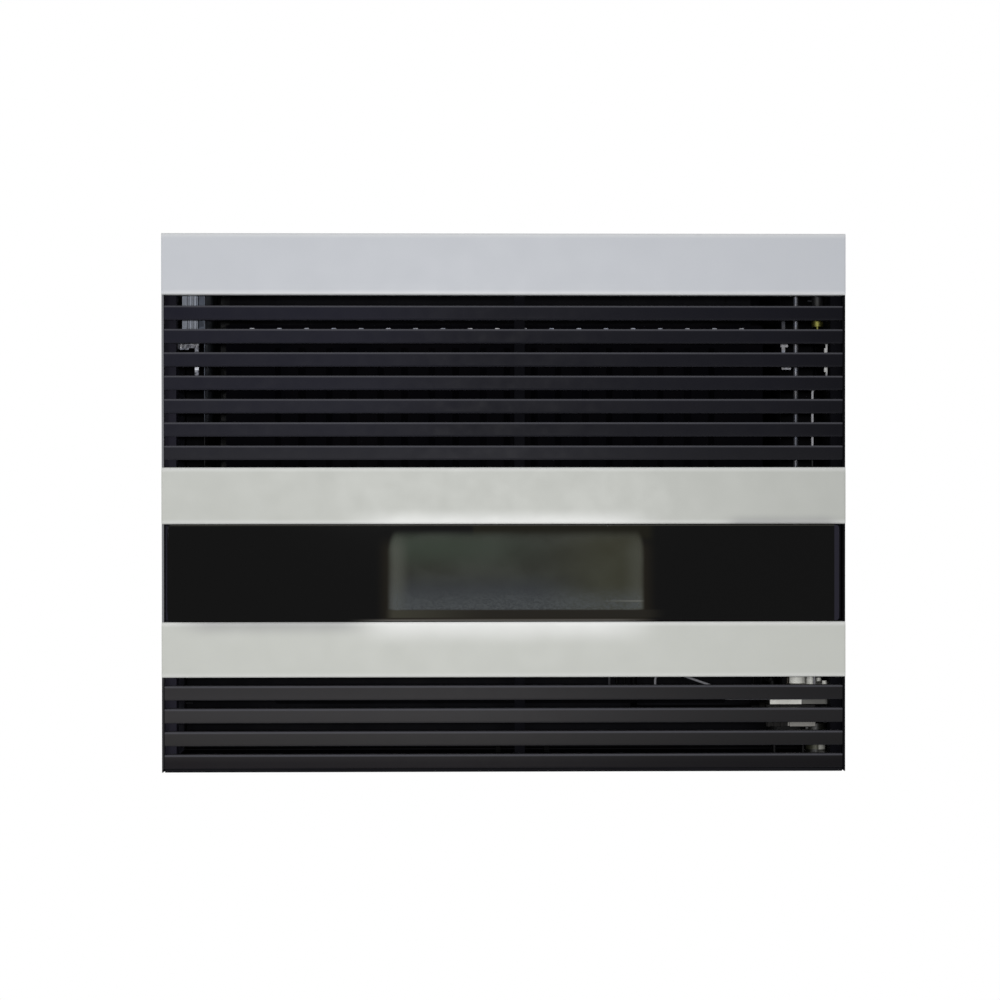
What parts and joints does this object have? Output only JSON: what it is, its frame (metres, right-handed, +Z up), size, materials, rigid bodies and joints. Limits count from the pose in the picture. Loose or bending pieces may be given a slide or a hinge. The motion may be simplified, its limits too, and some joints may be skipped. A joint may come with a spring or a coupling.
{
  "type": "wall-mounted gas heater",
  "caption": "Wall-hung balanced-flue gas convector: black casing with folded light bands, dark louvred grilles, glass strip with flame window, sealed chamber, knob and igniter on top.",
  "frame": {"origin": "middle of the four wall-fixing holes, on the wall plane behind the casing", "axes": "+X to the right seen from the room, +Y into the wall, +Z up"},
  "size_m": [0.79, 0.297, 0.623],
  "materials": {
    "casing_light": "satin light grey stove enamel of the front bands",
    "trim_black": "satin black paint",
    "slat_dark": "satin near-black paint",
    "tray_black": "matt black paint",
    "chamber_black": "matt heat-resisting black",
    "shield_steel": "zinc-coated sheet",
    "zinc_plate": "bright zinc plate",
    "black_glass": "toughened glass printed black from behind, clear over the flame window",
    "ceramic_glass": "clear heat-resisting glass ceramic",
    "pad_rubber": "black silicone foam tape",
    "fibre_gasket": "white ceramic-fibre gasket",
    "burner_steel": "stainless steel with heat tint",
    "ceramic": "glazed white ceramic",
    "valve_casting": "die-cast aluminium",
    "brass": "machined brass",
    "copper": "bare copper",
    "pipe_metal": "drawn aluminium tube",
    "flue_metal": "drawn aluminium, dull",
    "control_black": "fine-grained black moulding",
    "insulator_white": "white glass-filled nylon",
    "lead_white": "white silicone sleeve"
  },
  "bodies": {
    "root": {"back_plate": "tray_black", "base_tray": "tray_black", "left_side_panel": "trim_black", "right_side_panel": "trim_black", "top_panel": "trim_black", "control_well": "control_black", "left_upright": "trim_black", "right_upright": "trim_black", "top_band": "casing_light", "middle_band": "casing_light", "lower_band": "casing_light", "upper_slat_1": "slat_dark", "upper_slat_2": "slat_dark", "upper_slat_3": "slat_dark", "upper_slat_4": "slat_dark", "upper_slat_5": "slat_dark", "upper_slat_6": "slat_dark", "upper_slat_7": "slat_dark", "lower_slat_1": "slat_dark", "lower_slat_2": "slat_dark", "lower_slat_3": "slat_dark", "lower_slat_4": "slat_dark", "centre_braces": "trim_black", "glass_carrier": "trim_black", "glass_pads": "pad_rubber", "front_glass": "black_glass", "left_heat_shield": "shield_steel", "right_heat_shield": "chamber_black", "shield_bracket": "zinc_plate", "chamber_shell": "chamber_black", "chamber_flange": "chamber_black", "chamber_front": "chamber_black", "flue_baffle": "burner_steel", "chamber_screws": "zinc_plate", "chamber_brackets": "shield_steel", "window_gasket": "fibre_gasket", "window_glass": "ceramic_glass", "window_frame": "chamber_black", "burner_bar": "burner_steel", "burner_injector": "brass", "pilot_burner": "burner_steel", "thermocouple": "copper", "ignition_electrode": "ceramic", "air_duct": "chamber_black", "air_spigot": "flue_metal", "flue_spigot": "flue_metal", "gas_valve": "valve_casting", "valve_bracket": "zinc_plate", "manifold_pipe": "pipe_metal", "pilot_tube": "pipe_metal", "thermostat_sensor": "copper", "ignition_lead": "lead_white", "gas_inlet_elbow": "brass", "spindle_guide": "zinc_plate", "piezo_igniter": "control_black", "casing_screws": "zinc_plate"},
    "valve_rotor": {"valve_rotor": "insulator_white"},
    "control": {"control_spindle": "zinc_plate", "control_knob": "control_black"},
    "piezo_button": {"piezo_button": "control_black"}
  },
  "joints": [
    {"name": "knob_turn", "type": "hinge", "parent": "root", "child": "valve_rotor", "pos_m": [0.349, -0.155, -0.202], "axis": [0, 0, 1], "range_deg": [0, 270]},
    {"name": "knob_push", "type": "slide", "parent": "valve_rotor", "child": "control", "axis": [0, 0, -1], "range_m": [0, 0.005], "stiffness_N_per_m": 1500, "springref_m": -0.002},
    {"name": "piezo_press", "type": "slide", "parent": "root", "child": "piezo_button", "axis": [0, 0, -1], "range_m": [0, 0.006], "stiffness_N_per_m": 1200, "springref_m": -0.002}
  ]
}
